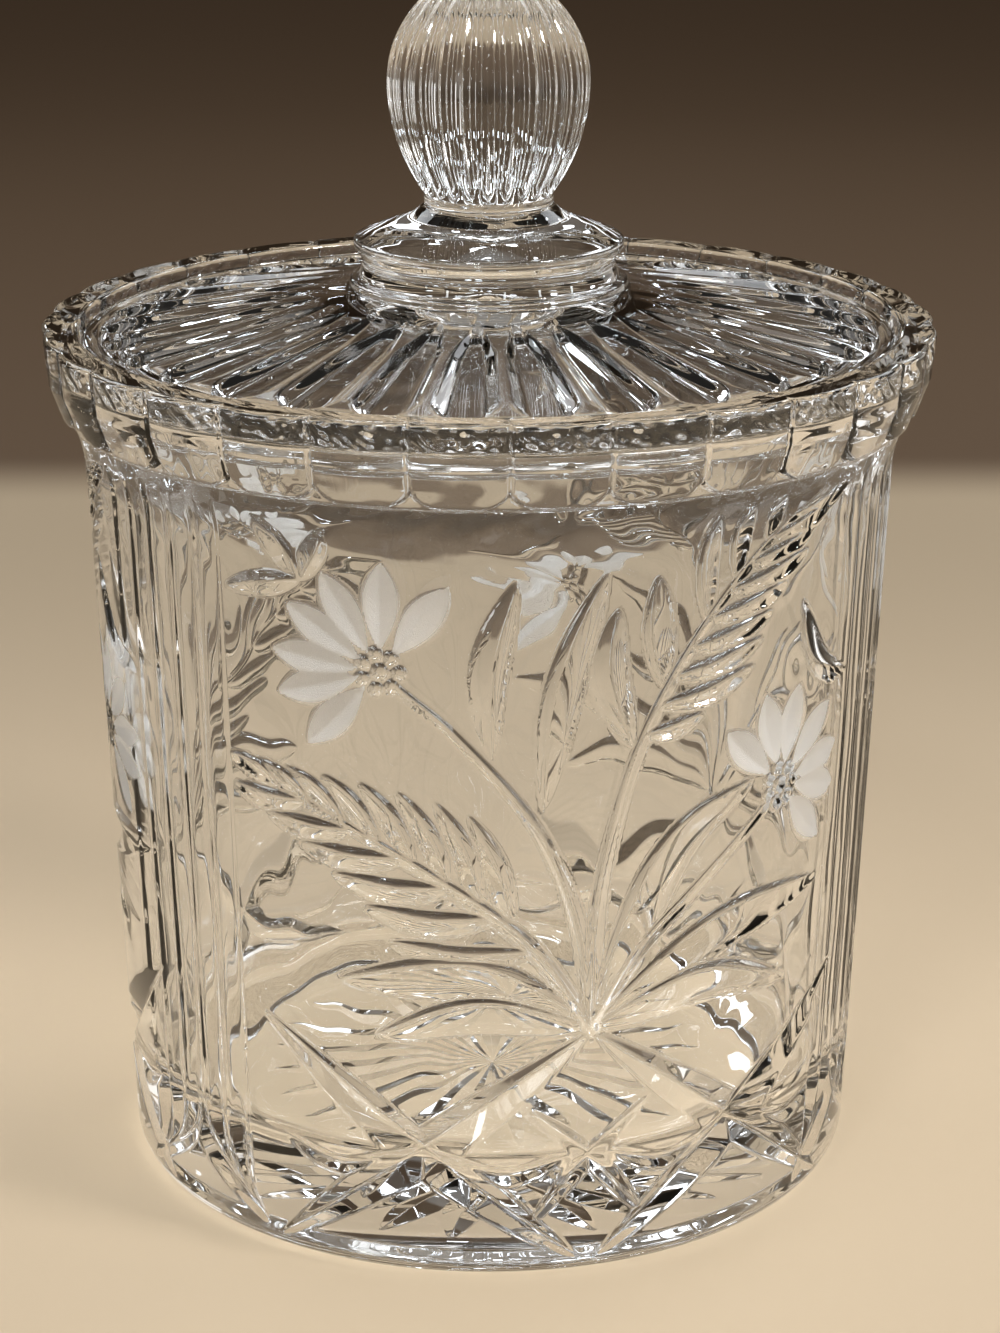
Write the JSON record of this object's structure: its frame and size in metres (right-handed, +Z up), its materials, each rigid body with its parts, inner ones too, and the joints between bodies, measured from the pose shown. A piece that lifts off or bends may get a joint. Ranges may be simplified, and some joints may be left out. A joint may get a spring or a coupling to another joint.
{
  "type": "biscuit jar",
  "caption": "Round cut-glass jar with a scalloped rim, carved flowers and flutes, and a lift-off lid with a ribbed ball knob.",
  "frame": {"origin": "centre of the plane that the jar rests on, on the jar's axis", "axes": "+Z up along the jar's axis, -Y towards the front, where the root of one carved plant is, +X to its right"},
  "size_m": [0.16, 0.1594, 0.2194],
  "materials": {
    "jar_glass": "clear polished crystal, with frosted petals where the flowers are ground",
    "lid_glass": "clear polished crystal",
    "knob_glass": "clear polished crystal, solid"
  },
  "bodies": {
    "jar": {"jar": "jar_glass"},
    "lid": {"lid": "lid_glass", "knob": "knob_glass"}
  },
  "joints": [
    {"name": "lid_lift", "type": "slide", "parent": "jar", "child": "lid", "axis": [0, 0, 1], "range_m": [0, 0.15]}
  ]
}
